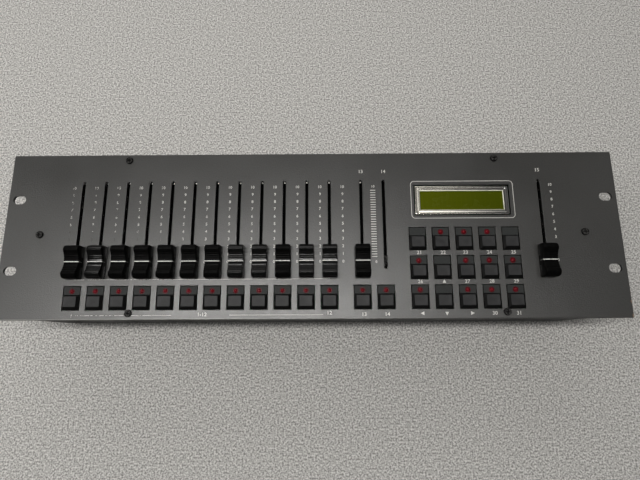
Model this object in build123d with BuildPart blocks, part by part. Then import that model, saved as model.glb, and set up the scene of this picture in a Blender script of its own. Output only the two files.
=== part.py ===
"""A rack-width lighting control desk: a steel panel with sliders and lit keys on a shallow tray.

The desk lies on its rubber feet with the panel on top. The origin is in the middle of the
underside of the feet, X runs along the width, Y away from the operator and Z up. Sizes are in
millimetres.
"""
import os

from build123d import *

# Clearances
seat_gap = 0.1  # round a piece that sits still in or on another piece of its own node
slide_gap = 0.4  # round a piece that moves in its guide
bore_gap = 0.2  # on the radius of a screw in a plain hole
thread_gap = 0.05  # on the radius of a screw in its thread

# Front panel and its rack slots
panel_w = 482.6
panel_d = 132.5
panel_t = 2.0
panel_corner_r = 1.0
panel_edge = 0.4
rack_slot_spacing_x = 465.1
rack_slot_spacing_y = 57.15
rack_slot_l = 10.0
rack_slot_w = 7.0

# Tray and feet
tray_w = 441.0
tray_h = 70.0
tray_front_inset = 1.0
tray_rear_inset = 1.8
sheet_t = 1.2
tray_corner_r = 1.6
foot_r = 6.35
foot_h = 3.0
foot_inset_x = 30.5
foot_inset_y = 22.85
foot_edge = 0.8

# Panel screws and the tray's tabs that they reach
screw_r = 1.5
screw_head_r = 2.9
screw_head_h = 1.5
screw_shank_l = 8.0
recess_l = 3.2
recess_w = 0.8
recess_depth = 1.0
rim_screw_x = 147.2
rim_screw_inset = 4.95
rim_screw_between_keys_x = 138.1
end_screw_inset = 7.7
tab_w = 12.0
rim_tab_reach = 2.3
rim_tab_d = 6.0
end_tab_reach = 8.0

# Slider columns
channel_count = 12
column_pitch = 17.85
first_channel_x = -182.0
first_extra_x = 39.5
master_x = 180.7
slider_front_to_key_rear = 4.3
slider_travel = 60.0
lever_l = 8.0
lever_w = 1.6
lever_above_panel = 5.0
panel_slot_w = 2.5
panel_slot_spare_rear = 2.1
panel_slot_spare_front = 1.6

# Slider housings
housing_l = 88.0
housing_w = 9.0
housing_h = 8.0
housing_wall = 0.9
housing_floor = 1.6
housing_slot_spare = 1.0
carriage_l = 11.0
carriage_spare = 1.5

# Slider caps
cap_w = 12.0
cap_l = 25.8
cap_h = 10.6
cap_lift = 0.7
cap_end_h = 5.6
cap_peak_inset = 4.4
cap_bulge_inset = 1.3
cap_bulge_h = 9.0
cap_valley_h = 6.8
cap_corner_r = 1.4
cap_edge = 0.8
cap_draft = 2.6

# Keys
key_front_spare_share = 0.316  # of the depth that keys and sliders leave free, the part in front
key_column_off = -0.4  # the row keys stand this far to the side of their sliders
key_row_pitch = 22.5
keypad_first_x = 82.7
keypad_pitch = 18.03
keypad_columns = 5
key_w = 12.5
key_d = 17.5
key_cutout_gap = 0.55
key_depth = 11.0
lamp_zone_d = 6.3
lamp_to_pad_gap = 0.4
pad_side_gap = 0.1
pad_skirt_h = 3.0
pad_skirt_above_panel = 0.3
pad_h = 2.7
pad_top_w = 9.5
pad_rear_slope = 0.9
pad_front_slope = 2.2
pad_travel = 1.5
pad_edge = 0.35
stem_w = 4.0
stem_l = 3.0

# Lamps
lamp_r = 1.5
lamp_body_h = 4.0
lamp_above_panel = 0.9
lamp_bore_r = 1.7
lamp_from_zone_middle = 0.4
lamp_lead_w = 0.6
lamp_lead_spacing = 1.8
keypad_lamps = (" ooo ", "o ooo", "o ooo")  # the keypad's rows from the rear, o for a key with a lamp

# Boards and what carries them
board_t = 1.6
control_board_w = 400.0
control_board_margin = 2.7
pillar_r = 2.75
pillar_inset = 3.4
pillar_bore_l = 6.0
display_pillar_x = 70.0
master_pillar_x = 168.0
end_pillar_x = 192.5
board_screw_head_r = 2.7
board_screw_head_h = 1.9
main_board_w = 150.0
main_board_d = 72.0
main_board_x = -95.0
main_board_off_y = -7.6
main_board_inset = 5.0
main_spacer_h = 8.0
main_spacer_r = 3.0

# Display
display_x = 119.25
display_behind_slider_middle = 19.2
display_board_w = 80.0
display_board_d = 36.0
display_hole_inset = 2.5
display_spacer_r = 2.2
display_screw_r = 1.1
display_screw_head_r = 2.0
display_screw_head_h = 1.3
bezel_w = 74.1
bezel_d = 23.6
bezel_h = 7.2
bezel_below_panel = 0.3
bezel_wall = 0.8
bezel_roof = 1.6
bezel_bevel = 1.2
bezel_border = 4.2
cutout_gap = 0.8

# Components on the main board
processor_l = 52.0
processor_w = 14.0
memory_l = 36.0
chip_h = 4.0
capacitor_r = 5.0
capacitor_h = 14.0
cooler_w = 24.0
cooler_t = 5.0
cooler_h = 22.0

# Ribbon cable and its plugs
ribbon_w = 25.0
ribbon_t = 1.0
ribbon_bend_r = 7.0
ribbon_fold_z = 38.0
plug_w = 30.0
plug_d = 7.0
plug_h = 8.0
ribbon_top_x = 0.0
ribbon_foot_x = -30.0

# Sockets in the rear wall
data_socket_x = -150.0
socket_z = 38.0
data_barrel_r = 11.8
data_barrel_l = 24.0
data_flange_w = 26.0
data_flange_h = 31.0
data_flange_t = 2.0
data_groove_outer_r = 9.6
data_groove_inner_r = 8.0
data_groove_depth = 12.0
data_contact_r = 0.9
data_contact_circle_r = 5.0
data_contact_count = 5
data_contact_depth = 9.0
data_screw_spacing_x = 19.0
data_screw_spacing_z = 24.0
data_screw_head_r = 2.5
data_screw_head_h = 1.2
power_socket_x = -104.0
power_body_r = 6.0
power_body_l = 13.0
power_neck_r = 3.9
power_bore_r = 2.75
power_bore_depth = 9.5
power_pin_r = 1.0
power_nut_af = 11.0
power_nut_t = 1.6

# Heights worked out from the sizes above
tray_top = foot_h + tray_h
panel_top = tray_top + panel_t
tray_floor = foot_h + sheet_t
board_top = panel_top - key_depth
board_base = board_top - board_t
bezel_top = panel_top - bezel_below_panel
display_board_top = bezel_top - bezel_h
main_board_top = tray_floor + main_spacer_h + board_t
lever_top = panel_top + lever_above_panel
pad_skirt_base = panel_top + pad_skirt_above_panel - pad_skirt_h
key_deck = pad_skirt_base - pad_travel - slide_gap

# Tray walls
tray_front = tray_front_inset - panel_d / 2
tray_rear = panel_d / 2 - tray_rear_inset
tray_d = tray_rear - tray_front
tray_mid_y = (tray_rear + tray_front) / 2

# Where the screws, sliders, keys and lamps stand
rim_screw_y = panel_d / 2 - rim_screw_inset
end_screw_x = tray_w / 2 - end_screw_inset
rear_screws = [(-rim_screw_x, rim_screw_y), (rim_screw_x, rim_screw_y)]
front_screws = [(-rim_screw_between_keys_x, -rim_screw_y), (rim_screw_x, -rim_screw_y)]
end_screws = [(-end_screw_x, 0), (end_screw_x, 0)]
panel_screw_places = rear_screws + front_screws + end_screws

channel_x = [first_channel_x + column_pitch * i for i in range(channel_count)]
extra_x = [first_extra_x, first_extra_x + column_pitch]
column_x = channel_x + extra_x
slider_x = column_x + [master_x]
rows_d = key_d + slider_front_to_key_rear + housing_l
key_front = tray_front + sheet_t + (tray_d - 2 * sheet_t - rows_d) * key_front_spare_share
key_row_y = key_front + key_d / 2
slider_mid_y = key_front + rows_d - housing_l / 2
slider_rest_y = slider_mid_y - slider_travel / 2
housing_places = [(x, slider_mid_y) for x in slider_x]

panel_slot_l = lever_l + slider_travel + panel_slot_spare_rear + panel_slot_spare_front
panel_slot_y = slider_mid_y + (panel_slot_spare_rear - panel_slot_spare_front) / 2
panel_slot_places = [(x, panel_slot_y) for x in slider_x]

keypad_x = [keypad_first_x + keypad_pitch * i for i in range(keypad_columns)]
keypad_y = [key_row_y + key_row_pitch * i for i in reversed(range(len(keypad_lamps)))]
row_keys = [(x + key_column_off, key_row_y) for x in column_x]
pad_keys = [(x, y) for y in keypad_y for x in keypad_x]
key_places = row_keys + pad_keys
lamp_zone_off = (key_d - lamp_zone_d) / 2
pad_d = key_d - lamp_zone_d - lamp_to_pad_gap
pad_w = key_w - 2 * pad_side_gap
pad_off = (pad_d - key_d) / 2
lamp_off = lamp_zone_off - lamp_from_zone_middle
lit_pad_keys = [
    (x, y)
    for y, lamps in zip(keypad_y, keypad_lamps)
    for x, lamp in zip(keypad_x, lamps)
    if lamp == "o"
]
lamp_places = [(x, y + lamp_off) for x, y in row_keys + lit_pad_keys]

pillar_x = [first_channel_x - column_pitch / 2 + 4 * column_pitch * i for i in range(3)]
pillar_x += [(channel_x[-1] + first_extra_x) / 2, display_pillar_x, master_pillar_x, end_pillar_x]
pillar_off_y = housing_l / 2 - pillar_inset
pillar_places = [(x, slider_mid_y + end * pillar_off_y) for x in pillar_x for end in (-1, 1)]

control_board_front = key_front - control_board_margin
control_board_rear = slider_mid_y + housing_l / 2 + control_board_margin
main_board_y = tray_mid_y + main_board_off_y
display_y = slider_mid_y + display_behind_slider_middle
main_spacer_dx = main_board_w / 2 - main_board_inset
main_spacer_dy = main_board_d / 2 - main_board_inset
main_spacer_places = [
    (main_board_x + side * main_spacer_dx, main_board_y + end * main_spacer_dy)
    for side in (-1, 1)
    for end in (-1, 1)
]
display_hole_dx = display_board_w / 2 - display_hole_inset
display_hole_dy = display_board_d / 2 - display_hole_inset
display_spacer_places = [
    (display_x + side * display_hole_dx, display_y + end * display_hole_dy)
    for side in (-1, 1)
    for end in (-1, 1)
]
data_screw_places = [
    (data_socket_x - data_screw_spacing_x / 2, socket_z + data_screw_spacing_z / 2),
    (data_socket_x + data_screw_spacing_x / 2, socket_z - data_screw_spacing_z / 2),
]


def write_node(part, node):
    """Label a finished piece and write it under its node's name."""
    part.label = node
    export_step(part, f"parts/{node}.step")


def make_front_panel():
    """The 2 mm steel panel, with its rack slots, slider slots and key cut-outs."""
    with BuildPart() as front_panel:
        with BuildSketch(Plane.XY.offset(tray_top)):
            RectangleRounded(panel_w, panel_d, panel_corner_r)
        extrude(amount=panel_t)
        chamfer(front_panel.faces().sort_by(Axis.Z)[-1].edges(), panel_edge)
        with BuildSketch(Plane.XY.offset(tray_top)):
            with GridLocations(rack_slot_spacing_x, rack_slot_spacing_y, 2, 2):
                SlotOverall(rack_slot_l, rack_slot_w)
            with Locations(*panel_slot_places):
                SlotOverall(panel_slot_l, panel_slot_w, rotation=90)
            with Locations(*key_places):
                Rectangle(key_w + 2 * key_cutout_gap, key_d + 2 * key_cutout_gap)
            with Locations((display_x, display_y)):
                Rectangle(bezel_w + 2 * cutout_gap, bezel_d + 2 * cutout_gap)
            with Locations(*panel_screw_places):
                Circle(screw_r + bore_gap)
        extrude(amount=panel_t, mode=Mode.SUBTRACT)
    write_node(front_panel.part, "front_panel")


def make_tray():
    """The folded steel channel: floor, front and rear walls, screw tabs and socket holes."""
    with BuildPart() as tray:
        with BuildSketch(Plane.YZ):
            with Locations((tray_mid_y, foot_h + tray_h / 2)):
                Rectangle(tray_d, tray_h)
            with Locations((tray_mid_y, tray_floor + tray_h / 2)):
                Rectangle(tray_d - 2 * sheet_t, tray_h, mode=Mode.SUBTRACT)
        extrude(amount=tray_w / 2 - sheet_t, both=True)
        fillet(tray.edges().filter_by(Axis.X).group_by(Axis.Z)[0], tray_corner_r)
        with BuildSketch(Plane.XY.offset(tray_top - sheet_t)):
            with Locations(*[(x, y - rim_tab_reach) for x, y in rear_screws]):
                Rectangle(tab_w, rim_tab_d, align=(Align.CENTER, Align.MIN))
            with Locations(*[(x, y + rim_tab_reach) for x, y in front_screws]):
                Rectangle(tab_w, rim_tab_d, align=(Align.CENTER, Align.MAX))
            with Locations((0, tray_mid_y)):
                Rectangle(tray_w, tray_d, mode=Mode.INTERSECT)
        extrude(amount=sheet_t)
        with BuildSketch(Plane.XY.offset(tray_top - sheet_t)):
            with Locations(*rear_screws, *front_screws):
                Circle(screw_r + thread_gap)
        extrude(amount=sheet_t, mode=Mode.SUBTRACT)
        with BuildSketch(Plane.XZ.offset(-tray_rear)):
            with Locations((data_socket_x, socket_z)):
                Circle(data_barrel_r + bore_gap)
            with Locations(*data_screw_places):
                Circle(screw_r + bore_gap)
            with Locations((power_socket_x, socket_z)):
                Circle(power_neck_r + bore_gap)
        extrude(amount=sheet_t, mode=Mode.SUBTRACT)
    write_node(tray.part, "chassis_tray")


def make_tray_ends():
    """The two flat plates spot-welded over the channel's ends, each with one screw tab."""
    with BuildPart() as tray_ends:
        for side in (-1, 1):
            with BuildSketch(Plane.YZ.offset(side * (tray_w - sheet_t) / 2)):
                with Locations((tray_mid_y, foot_h + tray_h / 2)):
                    Rectangle(tray_d, tray_h)
            extrude(amount=sheet_t / 2, both=True)
        fillet(tray_ends.edges().filter_by(Axis.X).group_by(Axis.Z)[0], tray_corner_r)
        with BuildSketch(Plane.XY.offset(tray_top - sheet_t)):
            with Locations(*end_screws):
                Rectangle(2 * end_tab_reach, tab_w)
            Rectangle(tray_w, tab_w, mode=Mode.INTERSECT)
            with Locations(*end_screws):
                Circle(screw_r + thread_gap, mode=Mode.SUBTRACT)
        extrude(amount=sheet_t)
    write_node(tray_ends.part, "chassis_ends")


def make_panel_screws():
    """Six pan-head machine screws with cross recesses, through the panel into the tabs."""
    with BuildPart() as panel_screws:
        with BuildSketch(Plane.XY.offset(panel_top)):
            with Locations(*panel_screw_places):
                Circle(screw_head_r)
        extrude(amount=screw_head_h)
        rims = panel_screws.faces().filter_by(Axis.Z).group_by(Axis.Z)[-1].edges()
        fillet(rims, screw_head_h * 0.6)
        with BuildSketch(Plane.XY.offset(panel_top)):
            with Locations(*panel_screw_places):
                Circle(screw_r)
        extrude(amount=-screw_shank_l)
        with BuildSketch(Plane.XY.offset(panel_top + screw_head_h)):
            with Locations(*panel_screw_places):
                Rectangle(recess_l, recess_w)
                Rectangle(recess_w, recess_l)
        extrude(amount=-recess_depth, mode=Mode.SUBTRACT)
    write_node(panel_screws.part, "panel_screws")


def make_rubber_feet():
    """Four round rubber feet under the tray."""
    with BuildPart() as rubber_feet:
        with BuildSketch(Plane.XY):
            with Locations((0, tray_mid_y)):
                with GridLocations(tray_w - 2 * foot_inset_x, tray_d - 2 * foot_inset_y, 2, 2):
                    Circle(foot_r)
        extrude(amount=foot_h)
        chamfer(rubber_feet.faces().filter_by(Axis.Z).group_by(Axis.Z)[0].edges(), foot_edge)
    write_node(rubber_feet.part, "rubber_feet")


def make_slider_housings():
    """The metal cases of the slide potentiometers, which stand on the control board."""
    cavity_h = housing_h - housing_floor - housing_wall
    with BuildPart() as slider_housings:
        with BuildSketch(Plane.XY.offset(board_top)):
            with Locations(*housing_places):
                Rectangle(housing_w, housing_l)
        extrude(amount=housing_h)
        with BuildSketch(Plane.XY.offset(board_top + housing_floor)):
            with Locations(*housing_places):
                Rectangle(housing_w - 2 * housing_wall, slider_travel + carriage_l + 2 * carriage_spare)
        extrude(amount=cavity_h, mode=Mode.SUBTRACT)
        with BuildSketch(Plane.XY.offset(board_top + housing_h)):
            with Locations(*housing_places):
                Rectangle(panel_slot_w, slider_travel + lever_l + 2 * housing_slot_spare)
        extrude(amount=-2 * housing_wall, mode=Mode.SUBTRACT)
    write_node(slider_housings.part, "slider_housings")


def make_slider(node, x, capped):
    """One slider: the carriage with its lever and, where it has one, the cap on the lever."""
    carriage_w = housing_w - 2 * housing_wall - 2 * slide_gap
    carriage_h = housing_h - housing_floor - housing_wall - 2 * slide_gap
    carriage_base = board_top + housing_floor + slide_gap
    cap_base = panel_top + cap_lift
    half = cap_l / 2
    with BuildPart() as slider:
        if capped:
            with BuildSketch(Plane.YZ.offset(x)):
                with BuildLine():
                    Polyline(
                        (slider_rest_y - half, panel_top + cap_end_h),
                        (slider_rest_y - half, cap_base),
                        (slider_rest_y + half, cap_base),
                        (slider_rest_y + half, panel_top + cap_end_h),
                    )
                    for end in (-1, 1):
                        ThreePointArc(
                            (slider_rest_y + end * half, panel_top + cap_end_h),
                            (slider_rest_y + end * (half - cap_bulge_inset), panel_top + cap_bulge_h),
                            (slider_rest_y + end * (half - cap_peak_inset), panel_top + cap_h),
                        )
                    ThreePointArc(
                        (slider_rest_y - half + cap_peak_inset, panel_top + cap_h),
                        (slider_rest_y, panel_top + cap_valley_h),
                        (slider_rest_y + half - cap_peak_inset, panel_top + cap_h),
                    )
                make_face()
            extrude(amount=cap_w / 2, both=True)
            fillet(slider.edges().filter_by(Axis.X).group_by(Axis.Z)[-1], cap_edge)
            with BuildSketch(Plane.XY.offset(cap_base)):
                with Locations((x, slider_rest_y)):
                    RectangleRounded(cap_w, cap_l, cap_corner_r)
            extrude(amount=cap_h, taper=cap_draft, mode=Mode.INTERSECT)
            with BuildSketch(Plane.XY.offset(cap_base)):
                with Locations((x, slider_rest_y)):
                    Rectangle(lever_w + 2 * seat_gap, lever_l + 2 * seat_gap)
            extrude(amount=lever_top + seat_gap - cap_base, mode=Mode.SUBTRACT)
        with BuildSketch(Plane.XY.offset(carriage_base)):
            with Locations((x, slider_rest_y)):
                Rectangle(carriage_w, carriage_l)
        extrude(amount=carriage_h)
        with BuildSketch(Plane.XY.offset(carriage_base)):
            with Locations((x, slider_rest_y)):
                Rectangle(lever_w, lever_l)
        extrude(amount=lever_top - carriage_base)
    write_node(slider.part, node)


def make_key_housings():
    """The fixed bodies of the keys: a flush lamp zone at the rear and a lower deck in front."""
    with BuildPart() as key_housings:
        with BuildSketch(Plane.XY.offset(board_top)):
            with Locations(*key_places):
                Rectangle(key_w, key_d)
        extrude(amount=key_deck - board_top)
        with BuildSketch(Plane.XY.offset(board_top)):
            with Locations(*[(x, y + lamp_zone_off) for x, y in key_places]):
                Rectangle(key_w, lamp_zone_d)
        extrude(amount=panel_top - board_top)
        with BuildSketch(Plane.XY.offset(board_top)):
            with Locations(*lamp_places):
                Circle(lamp_bore_r)
        extrude(amount=panel_top - board_top, mode=Mode.SUBTRACT)
        with BuildSketch(Plane.XY.offset(key_deck)):
            with Locations(*[(x, y + pad_off) for x, y in key_places]):
                Rectangle(stem_w + 2 * slide_gap, stem_w + 2 * slide_gap)
        extrude(amount=-(stem_l + slide_gap), mode=Mode.SUBTRACT)
    write_node(key_housings.part, "key_housings")


def make_key(node, x, y):
    """One key's moving cap: a skirt, a raised pad with sloped sides and the stem below."""
    pad_y = y + pad_off
    skirt_top = pad_skirt_base + pad_skirt_h
    with BuildPart() as key:
        with BuildSketch(Plane.XY.offset(pad_skirt_base)):
            with Locations((x, pad_y)):
                Rectangle(pad_w, pad_d)
        extrude(amount=pad_skirt_h)
        with BuildSketch(Plane.XY.offset(skirt_top)) as pad_foot:
            with Locations((x, pad_y)):
                Rectangle(pad_w, pad_d)
        with BuildSketch(Plane.XY.offset(panel_top + pad_h)) as pad_face:
            with Locations((x, pad_y + (pad_front_slope - pad_rear_slope) / 2)):
                Rectangle(pad_top_w, pad_d - pad_front_slope - pad_rear_slope)
        loft([pad_foot.sketch.face(), pad_face.sketch.face()], ruled=True)
        chamfer(key.faces().sort_by(Axis.Z)[-1].edges(), pad_edge)
        with BuildSketch(Plane.XY.offset(pad_skirt_base)):
            with Locations((x, pad_y)):
                Rectangle(stem_w, stem_w)
        extrude(amount=-stem_l)
    write_node(key.part, node)


def make_lamps():
    """Red 3 mm lamps in the keys' lamp zones, on leads that stand on the control board."""
    dome_base = panel_top + lamp_above_panel - lamp_r
    body_base = dome_base - lamp_body_h
    with BuildPart() as lamps:
        with BuildSketch(Plane.XY.offset(body_base)):
            with Locations(*lamp_places):
                Circle(lamp_r)
        extrude(amount=lamp_body_h)
        with Locations(*[(x, y, dome_base) for x, y in lamp_places]):
            Sphere(lamp_r)
        with BuildSketch(Plane.XY.offset(board_top)):
            with Locations(*lamp_places):
                with GridLocations(lamp_lead_spacing, lamp_lead_spacing, 2, 1):
                    Rectangle(lamp_lead_w, lamp_lead_w)
        extrude(amount=body_base - board_top)
    write_node(lamps.part, "lamps")


def make_control_board():
    """The circuit board behind the panel that carries the sliders, keys, lamps and display."""
    board_d = control_board_rear - control_board_front
    with BuildPart() as control_board:
        with BuildSketch(Plane.XY.offset(board_base)):
            with Locations((0, (control_board_rear + control_board_front) / 2)):
                Rectangle(control_board_w, board_d)
            with Locations(*pillar_places):
                Circle(screw_r + bore_gap, mode=Mode.SUBTRACT)
        extrude(amount=board_t)
        with BuildSketch(Plane.XY.offset(board_base - seat_gap)):
            with Locations((ribbon_top_x, main_board_y)):
                Rectangle(plug_w, plug_d)
        extrude(amount=-plug_h)
    write_node(control_board.part, "control_board")


def make_board_spacers():
    """The pillars and spacers between the panel, boards and tray, each with its screw."""
    head_base = board_base - board_screw_head_h
    with BuildPart() as board_spacers:
        with BuildSketch(Plane.XY.offset(board_top)):
            with Locations(*pillar_places):
                Circle(pillar_r)
        extrude(amount=tray_top - board_top)
        with BuildSketch(Plane.XY.offset(board_top)):
            with Locations(*pillar_places):
                Circle(screw_r + thread_gap)
        extrude(amount=pillar_bore_l, mode=Mode.SUBTRACT)
        with BuildSketch(Plane.XY.offset(head_base)):
            with Locations(*pillar_places):
                Circle(board_screw_head_r)
        extrude(amount=board_screw_head_h)
        with BuildSketch(Plane.XY.offset(head_base)):
            with Locations(*pillar_places):
                Circle(screw_r)
        extrude(amount=board_screw_head_h + board_t + pillar_bore_l - seat_gap)
        with BuildSketch(Plane.XY.offset(tray_floor)):
            with Locations(*main_spacer_places):
                Circle(main_spacer_r)
                Circle(screw_r + thread_gap, mode=Mode.SUBTRACT)
        extrude(amount=main_spacer_h)
        with BuildSketch(Plane.XY.offset(main_board_top)):
            with Locations(*main_spacer_places):
                Circle(board_screw_head_r)
        extrude(amount=board_screw_head_h)
        with BuildSketch(Plane.XY.offset(main_board_top)):
            with Locations(*main_spacer_places):
                Circle(screw_r)
        extrude(amount=-(board_t + main_spacer_h - seat_gap))
        with BuildSketch(Plane.XY.offset(board_top)):
            with Locations(*display_spacer_places):
                Circle(display_spacer_r)
                Circle(display_screw_r + thread_gap, mode=Mode.SUBTRACT)
        extrude(amount=display_board_top - board_t - board_top)
        with BuildSketch(Plane.XY.offset(display_board_top)):
            with Locations(*display_spacer_places):
                Circle(display_screw_head_r)
        extrude(amount=display_screw_head_h)
        with BuildSketch(Plane.XY.offset(board_top + seat_gap)):
            with Locations(*display_spacer_places):
                Circle(display_screw_r)
        extrude(amount=display_board_top - board_top - seat_gap)
    write_node(board_spacers.part, "board_spacers")


def make_display():
    """The character display: its board, the liquid-crystal cell and the metal bezel round it."""
    with BuildPart() as display_board:
        with BuildSketch(Plane.XY.offset(display_board_top)):
            with Locations((display_x, display_y)):
                Rectangle(display_board_w, display_board_d)
            with Locations(*display_spacer_places):
                Circle(display_screw_r + bore_gap, mode=Mode.SUBTRACT)
        extrude(amount=-board_t)
    write_node(display_board.part, "display_board")

    with BuildPart() as display_bezel:
        with BuildSketch(Plane.XY.offset(display_board_top)):
            with Locations((display_x, display_y)):
                Rectangle(bezel_w, bezel_d)
        extrude(amount=bezel_h)
        with BuildSketch(Plane.XY.offset(display_board_top)):
            with Locations((display_x, display_y)):
                Rectangle(bezel_w - 2 * bezel_wall, bezel_d - 2 * bezel_wall)
        extrude(amount=bezel_h - bezel_roof, mode=Mode.SUBTRACT)
        with BuildSketch(Plane.XY.offset(bezel_top)):
            with Locations((display_x, display_y)):
                Rectangle(bezel_w - 2 * bezel_border, bezel_d - 2 * bezel_border)
        extrude(amount=-bezel_roof, mode=Mode.SUBTRACT)
        inner = display_bezel.faces().sort_by(Axis.Z)[-1].inner_wires()
        chamfer([edge for wire in inner for edge in wire.edges()], bezel_bevel)
    write_node(display_bezel.part, "display_bezel")

    with BuildPart() as display_cell:
        with BuildSketch(Plane.XY.offset(display_board_top)):
            with Locations((display_x, display_y)):
                cell_inset = bezel_wall + seat_gap
                Rectangle(bezel_w - 2 * cell_inset, bezel_d - 2 * cell_inset)
        extrude(amount=bezel_h - bezel_roof)
    write_node(display_cell.part, "display_cell")


def make_main_board():
    """The processor board on the tray's floor, with its chips, capacitor, cooler and header."""
    parts_z = main_board_top + seat_gap
    with BuildPart() as main_board:
        with BuildSketch(Plane.XY.offset(main_board_top)):
            with Locations((main_board_x, main_board_y)):
                Rectangle(main_board_w, main_board_d)
            with Locations(*main_spacer_places):
                Circle(screw_r + bore_gap, mode=Mode.SUBTRACT)
        extrude(amount=-board_t)
        with BuildSketch(Plane.XY.offset(parts_z)):
            with Locations((main_board_x - processor_l / 4, main_board_y - processor_w)):
                Rectangle(processor_l, processor_w)
            with Locations((main_board_x - processor_l / 4, main_board_y + processor_w)):
                Rectangle(memory_l, processor_w)
        extrude(amount=chip_h)
        with BuildSketch(Plane.XY.offset(parts_z)):
            with Locations((main_board_x - processor_l, main_board_y)):
                Circle(capacitor_r)
        extrude(amount=capacitor_h)
        with BuildSketch(Plane.XY.offset(parts_z)):
            with Locations((main_board_x - processor_l, main_board_y + processor_w + capacitor_r)):
                Rectangle(cooler_w, cooler_t)
        extrude(amount=cooler_h)
        with BuildSketch(Plane.XY.offset(parts_z)):
            with Locations((ribbon_foot_x, main_board_y)):
                Rectangle(plug_d, plug_w)
        extrude(amount=plug_h)
    write_node(main_board.part, "main_board")


def make_ribbon_cable():
    """The flat cable that joins the two boards, folded once on its way down."""
    upper_z = board_base - seat_gap - plug_h
    lower_z = main_board_top + seat_gap + plug_h
    with BuildPart() as ribbon_cable:
        with BuildSketch(Plane.XZ.offset(-main_board_y)):
            with BuildLine() as run:
                FilletPolyline(
                    (ribbon_top_x, upper_z),
                    (ribbon_top_x, ribbon_fold_z),
                    (ribbon_foot_x, ribbon_fold_z),
                    (ribbon_foot_x, lower_z),
                    radius=ribbon_bend_r,
                )
            trace(run.line, line_width=ribbon_t)
        extrude(amount=ribbon_w / 2, both=True)
    write_node(ribbon_cable.part, "ribbon_cable")


def make_rear_sockets():
    """The five-contact data socket with its two screws, and the power socket with its nut."""
    with BuildPart() as rear_sockets:
        with BuildSketch(Plane.XZ.offset(-tray_rear)):
            with Locations((data_socket_x, socket_z)):
                Circle(data_barrel_r)
        extrude(amount=data_barrel_l)
        with BuildSketch(Plane.XZ.offset(sheet_t - tray_rear)):
            with Locations((data_socket_x, socket_z)):
                Rectangle(data_flange_w, data_flange_h)
            with Locations(*data_screw_places):
                Circle(screw_r + thread_gap, mode=Mode.SUBTRACT)
        extrude(amount=data_flange_t)
        with BuildSketch(Plane.XZ.offset(-tray_rear)):
            with Locations((data_socket_x, socket_z)):
                Circle(data_groove_outer_r)
                Circle(data_groove_inner_r, mode=Mode.SUBTRACT)
        extrude(amount=data_groove_depth, mode=Mode.SUBTRACT)
        with BuildSketch(Plane.XZ.offset(-tray_rear)):
            with Locations((data_socket_x, socket_z)):
                arc = 360 * data_contact_count / (data_contact_count + 1)
                with PolarLocations(data_contact_circle_r, data_contact_count, -60, arc):
                    Circle(data_contact_r)
        extrude(amount=data_contact_depth, mode=Mode.SUBTRACT)
        with BuildSketch(Plane.XZ.offset(-tray_rear)):
            with Locations(*data_screw_places):
                Circle(data_screw_head_r)
        extrude(amount=-data_screw_head_h)
        with BuildSketch(Plane.XZ.offset(-tray_rear)):
            with Locations(*data_screw_places):
                Circle(screw_r)
        extrude(amount=sheet_t + data_flange_t)
        with BuildSketch(Plane.XZ.offset(sheet_t - tray_rear)):
            with Locations((power_socket_x, socket_z)):
                Circle(power_body_r)
        extrude(amount=power_body_l)
        with BuildSketch(Plane.XZ.offset(sheet_t - tray_rear)):
            with Locations((power_socket_x, socket_z)):
                Circle(power_neck_r)
        extrude(amount=-(sheet_t + power_nut_t))
        with BuildSketch(Plane.XZ.offset(-tray_rear - power_nut_t)):
            with Locations((power_socket_x, socket_z)):
                Circle(power_bore_r)
                Circle(power_pin_r, mode=Mode.SUBTRACT)
        extrude(amount=power_bore_depth, mode=Mode.SUBTRACT)
        with BuildSketch(Plane.XZ.offset(-tray_rear)):
            with Locations((power_socket_x, socket_z)):
                RegularPolygon(power_nut_af / 2, 6, major_radius=False)
                Circle(power_neck_r + seat_gap, mode=Mode.SUBTRACT)
        extrude(amount=-power_nut_t)
    write_node(rear_sockets.part, "rear_sockets")


os.makedirs("parts", exist_ok=True)
make_front_panel()
make_tray()
make_tray_ends()
make_panel_screws()
make_rubber_feet()
make_slider_housings()
make_key_housings()
make_lamps()
make_control_board()
make_board_spacers()
make_display()
make_main_board()
make_ribbon_cable()
make_rear_sockets()
for number, x in enumerate(column_x, start=1):
    make_slider(f"slider_{number:02d}", x, capped=x != extra_x[-1])
    make_key(f"key_{number:02d}", x + key_column_off, key_row_y)
make_slider("slider_master", master_x, capped=True)
for row, y in enumerate(keypad_y, start=1):
    for column, x in enumerate(keypad_x, start=1):
        make_key(f"keypad_{row}_{column}", x, y)
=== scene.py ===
"""A rack-width lighting control desk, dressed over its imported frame, on a pale table."""

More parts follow.
